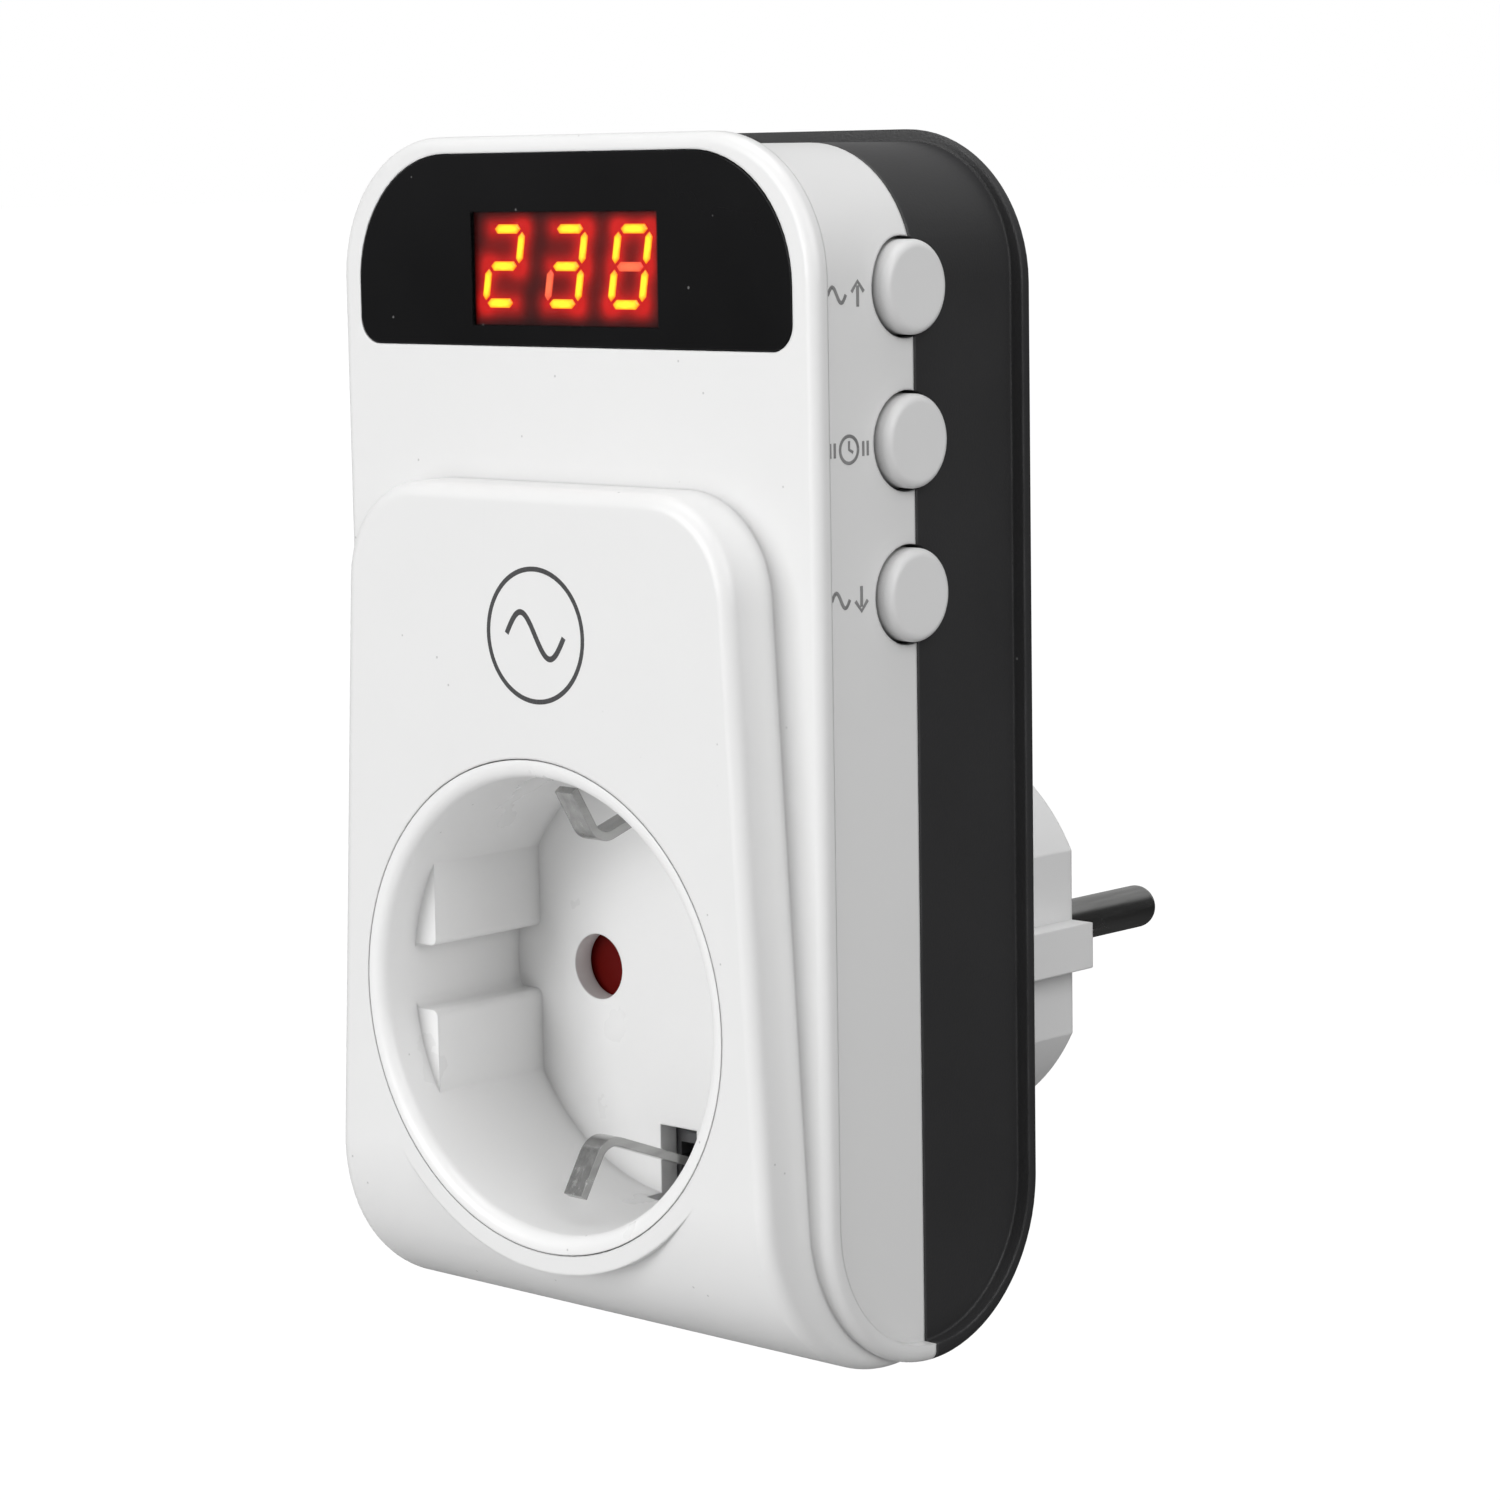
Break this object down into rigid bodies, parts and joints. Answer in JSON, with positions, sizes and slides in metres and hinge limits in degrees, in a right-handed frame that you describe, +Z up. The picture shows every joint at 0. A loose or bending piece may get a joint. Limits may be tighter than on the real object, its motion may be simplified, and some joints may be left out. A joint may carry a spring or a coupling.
{
  "type": "plug-through voltage monitor with socket",
  "caption": "Plug-through mains voltage monitor: recessed round socket, LED display and side push buttons in front, earthed pin plug behind.",
  "frame": {"origin": "centre of the plug's contact face, midway between the two pins", "axes": "+Y along the pins into the wall socket, +X to the right seen from the front, +Z up"},
  "size_m": [0.056, 0.072, 0.1035],
  "materials": {
    "white_plastic": "moulded ABS, satin gloss",
    "dark_plastic": "fine textured ABS",
    "lens_plastic": "polished smoked acrylic",
    "button_plastic": "moulded, satin",
    "plug_plastic": "moulded, satin",
    "insert_plastic": "moulded thermoset, satin gloss",
    "led_face": "epoxy faced display",
    "led_lit": "lit epoxy segment",
    "led_faint": "unlit epoxy segment",
    "board": "solder mask on glass epoxy",
    "black_plastic": "moulded nylon",
    "carrier_plastic": "moulded PBT",
    "shutter_plastic": "moulded acetal",
    "nickel": "nickel plated brass",
    "spring_steel": "tinned spring strip",
    "copper_strip": "bare brass strip",
    "coil_copper": "enamelled copper wire",
    "zinc_steel": "zinc plated",
    "relay_plastic": "moulded PBT case",
    "capacitor_yellow": "moulded box",
    "capacitor_sleeve": "shrink sleeve",
    "varistor_blue": "epoxy coating",
    "wire_brown": "PVC insulation",
    "wire_blue": "PVC insulation"
  },
  "bodies": {
    "housing": {"front_cover": "white_plastic", "rear_cover": "dark_plastic", "display_lens": "lens_plastic", "led_module": "led_face", "led_segments_lit": "led_lit", "led_segments_faint": "led_faint", "display_board": "board", "board_header": "black_plastic", "switch_body_upper": "black_plastic", "switch_body_middle": "black_plastic", "switch_body_lower": "black_plastic", "socket_insert": "insert_plastic", "contact_carrier": "carrier_plastic", "shutter_spring": "spring_steel", "socket_contact_left": "copper_strip", "socket_contact_right": "copper_strip", "earth_bracket": "nickel", "plug_body": "plug_plastic", "plug_pin_left": "nickel", "plug_pin_right": "nickel", "plug_earth_contacts": "nickel", "earth_strap": "copper_strip", "neutral_busbar": "copper_strip", "live_input_wire": "wire_brown", "neutral_wire": "wire_blue", "live_output_wire": "wire_brown", "main_board": "board", "relay_base": "black_plastic", "relay_frame": "zinc_steel", "relay_core": "zinc_steel", "relay_coil": "coil_copper", "relay_contacts": "copper_strip", "relay_cover": "relay_plastic", "film_capacitor": "capacitor_yellow", "electrolytic_capacitor": "capacitor_sleeve", "varistor": "varistor_blue", "fuse": "black_plastic", "controller_chips": "black_plastic", "case_screws": "zinc_steel", "board_screws": "zinc_steel", "insert_screws": "zinc_steel"},
    "upper_button": {"button_upper": "button_plastic", "switch_plunger_upper": "black_plastic"},
    "middle_button": {"button_middle": "button_plastic", "switch_plunger_middle": "black_plastic"},
    "lower_button": {"button_lower": "button_plastic", "switch_plunger_lower": "black_plastic"},
    "shutter_body": {"shutter": "shutter_plastic"},
    "armature_body": {"relay_armature": "zinc_steel"}
  },
  "joints": [
    {"name": "upper_button_press", "type": "slide", "parent": "housing", "child": "upper_button", "axis": [-1, 0, 0], "range_m": [0, 0.0005], "stiffness_N_per_m": 900, "springref_m": -0.001},
    {"name": "middle_button_press", "type": "slide", "parent": "housing", "child": "middle_button", "axis": [-1, 0, 0], "range_m": [0, 0.0005], "stiffness_N_per_m": 900, "springref_m": -0.001},
    {"name": "lower_button_press", "type": "slide", "parent": "housing", "child": "lower_button", "axis": [-1, 0, 0], "range_m": [0, 0.0005], "stiffness_N_per_m": 900, "springref_m": -0.001},
    {"name": "shutter_turn", "type": "hinge", "parent": "housing", "child": "shutter_body", "pos_m": [0, -0.0327, 0], "axis": [0, -1, 0], "range_deg": [0, 43], "stiffness_Nm_per_rad": 0.004, "springref_deg": -20.05},
    {"name": "armature_tilt", "type": "hinge", "parent": "housing", "child": "armature_body", "pos_m": [-0.0142, -0.0424, 0.04335], "axis": [-1, 0, 0], "range_deg": [0, 4], "stiffness_Nm_per_rad": 0.02, "springref_deg": -22.92}
  ]
}
